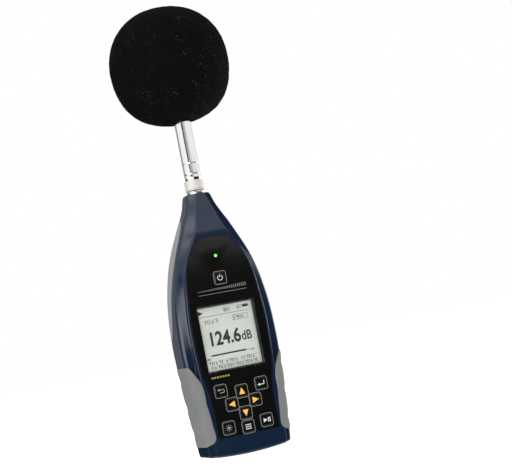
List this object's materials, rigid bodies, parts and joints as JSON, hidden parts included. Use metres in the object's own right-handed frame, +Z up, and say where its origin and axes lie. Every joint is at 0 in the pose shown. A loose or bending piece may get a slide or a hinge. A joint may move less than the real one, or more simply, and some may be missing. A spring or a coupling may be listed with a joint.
{
  "type": "sound level meter",
  "caption": "Hand-held sound level meter: case with display, keys and rubber grips, and a half-inch microphone with a foam ball windscreen on a threaded connector.",
  "frame": {"origin": "mouth of the tripod thread in the back of the case", "axes": "+Z up the meter to the microphone, display faces -Y, +X to the right of someone reading it"},
  "size_m": [0.092, 0.092, 0.3437],
  "materials": {
    "case_navy": "fine satin texture",
    "grip_rubber": "soft matt",
    "side_trim": "matt",
    "panel_black": "satin overlay",
    "window_clear": "clear",
    "lcd_glass": "satin",
    "diffuser_white": "matt",
    "plastic_black": "matt",
    "light_green": "clear tinted",
    "key_black": "satin",
    "keypad_rubber": "matt",
    "contact_gold": "bright",
    "board_green": "satin solder mask",
    "tinned_steel": "bright",
    "nickel": "satin nickel",
    "stainless": "polished",
    "mic_metal": "satin",
    "mic_plate": "bright",
    "mic_ceramic": "matt",
    "foam_black": "open-cell foam",
    "cell_jacket": "printed jacket",
    "insert_brass": "bright",
    "screw_steel": "zinc"
  },
  "bodies": {
    "case": {"front_shell": "case_navy", "rear_shell": "case_navy", "grip_left": "grip_rubber", "grip_right": "grip_rubber", "inlay_left": "side_trim", "inlay_right": "side_trim", "faceplate": "panel_black", "display_window": "window_clear", "lcd_panel": "lcd_glass", "lcd_backlight": "diffuser_white", "lcd_frame": "plastic_black", "led_light_pipe": "light_green", "keypad_mat": "keypad_rubber", "key_contacts": "contact_gold", "main_board": "board_green", "analog_board": "board_green", "board_header": "plastic_black", "shield_can": "tinned_steel", "chips": "plastic_black", "clock_cell": "tinned_steel", "card_socket": "tinned_steel", "usb_socket": "tinned_steel", "ac_jack": "plastic_black", "dc_jack": "plastic_black", "tnc_receptacle": "nickel", "tnc_locknut": "nickel", "tnc_contact": "contact_gold", "signal_lead": "plastic_black", "battery_tray": "plastic_black", "battery_cells": "cell_jacket", "battery_springs": "tinned_steel", "battery_contacts": "tinned_steel", "tripod_insert": "insert_brass", "housing_screws": "screw_steel", "board_screws": "screw_steel"},
    "key_power": {"key_power": "key_black"},
    "key_escape": {"key_escape": "key_black"},
    "key_enter": {"key_enter": "key_black"},
    "key_up": {"key_up": "key_black"},
    "key_down": {"key_down": "key_black"},
    "key_left": {"key_left": "key_black"},
    "key_right": {"key_right": "key_black"},
    "key_light": {"key_light": "key_black"},
    "key_menu": {"key_menu": "key_black"},
    "key_run": {"key_run": "key_black"},
    "battery_door": {"battery_door": "case_navy"},
    "memory_card": {"memory_card": "plastic_black"},
    "microphone": {"preamp_tube": "stainless", "preamp_pin": "contact_gold", "preamp_board": "board_green", "preamp_insulator": "diffuser_white", "mic_housing": "mic_metal", "mic_backplate": "mic_plate", "mic_insulator": "mic_ceramic", "mic_diaphragm": "mic_metal", "mic_grid": "mic_metal"},
    "coupling_nut": {"coupling_nut": "nickel"},
    "windscreen": {"windscreen": "foam_black"}
  },
  "joints": [
    {"name": "key_power_press", "type": "slide", "parent": "case", "child": "key_power", "axis": [0, 1, 0], "range_m": [0, 0.0005], "stiffness_N_per_m": 900, "springref_m": -0.001},
    {"name": "key_escape_press", "type": "slide", "parent": "case", "child": "key_escape", "axis": [0, 1, 0], "range_m": [0, 0.0005], "stiffness_N_per_m": 900, "springref_m": -0.001},
    {"name": "key_enter_press", "type": "slide", "parent": "case", "child": "key_enter", "axis": [0, 1, 0], "range_m": [0, 0.0005], "stiffness_N_per_m": 900, "springref_m": -0.001},
    {"name": "key_up_press", "type": "slide", "parent": "case", "child": "key_up", "axis": [0, 1, 0], "range_m": [0, 0.0005], "stiffness_N_per_m": 900, "springref_m": -0.001},
    {"name": "key_down_press", "type": "slide", "parent": "case", "child": "key_down", "axis": [0, 1, 0], "range_m": [0, 0.0005], "stiffness_N_per_m": 900, "springref_m": -0.001},
    {"name": "key_left_press", "type": "slide", "parent": "case", "child": "key_left", "axis": [0, 1, 0], "range_m": [0, 0.0005], "stiffness_N_per_m": 900, "springref_m": -0.001},
    {"name": "key_right_press", "type": "slide", "parent": "case", "child": "key_right", "axis": [0, 1, 0], "range_m": [0, 0.0005], "stiffness_N_per_m": 900, "springref_m": -0.001},
    {"name": "key_light_press", "type": "slide", "parent": "case", "child": "key_light", "axis": [0, 1, 0], "range_m": [0, 0.0005], "stiffness_N_per_m": 900, "springref_m": -0.001},
    {"name": "key_menu_press", "type": "slide", "parent": "case", "child": "key_menu", "axis": [0, 1, 0], "range_m": [0, 0.0005], "stiffness_N_per_m": 900, "springref_m": -0.001},
    {"name": "key_run_press", "type": "slide", "parent": "case", "child": "key_run", "axis": [0, 1, 0], "range_m": [0, 0.0005], "stiffness_N_per_m": 900, "springref_m": -0.001},
    {"name": "battery_door_tip", "type": "hinge", "parent": "case", "child": "battery_door", "pos_m": [0, -0.0012, -0.085], "axis": [-1, 0, 0], "range_deg": [0, 60]},
    {"name": "memory_card_pull", "type": "slide", "parent": "case", "child": "memory_card", "axis": [0, 0, -1], "range_m": [0, 0.012]},
    {"name": "microphone_lift", "type": "slide", "parent": "case", "child": "microphone", "axis": [0, 0, 1], "range_m": [0, 0.00499]},
    {"name": "coupling_nut_turn", "type": "hinge", "parent": "microphone", "child": "coupling_nut", "pos_m": [0, -0.018, 0.0918], "axis": [0, 0, 1], "range_deg": [0, 1980]},
    {"name": "windscreen_pull", "type": "slide", "parent": "microphone", "child": "windscreen", "axis": [0, 0, 1], "range_m": [0, 0.055]}
  ],
  "couplings": [
    {"joint": "coupling_nut_turn", "follows": "microphone_lift", "rad_per_m": 6924.7}
  ]
}
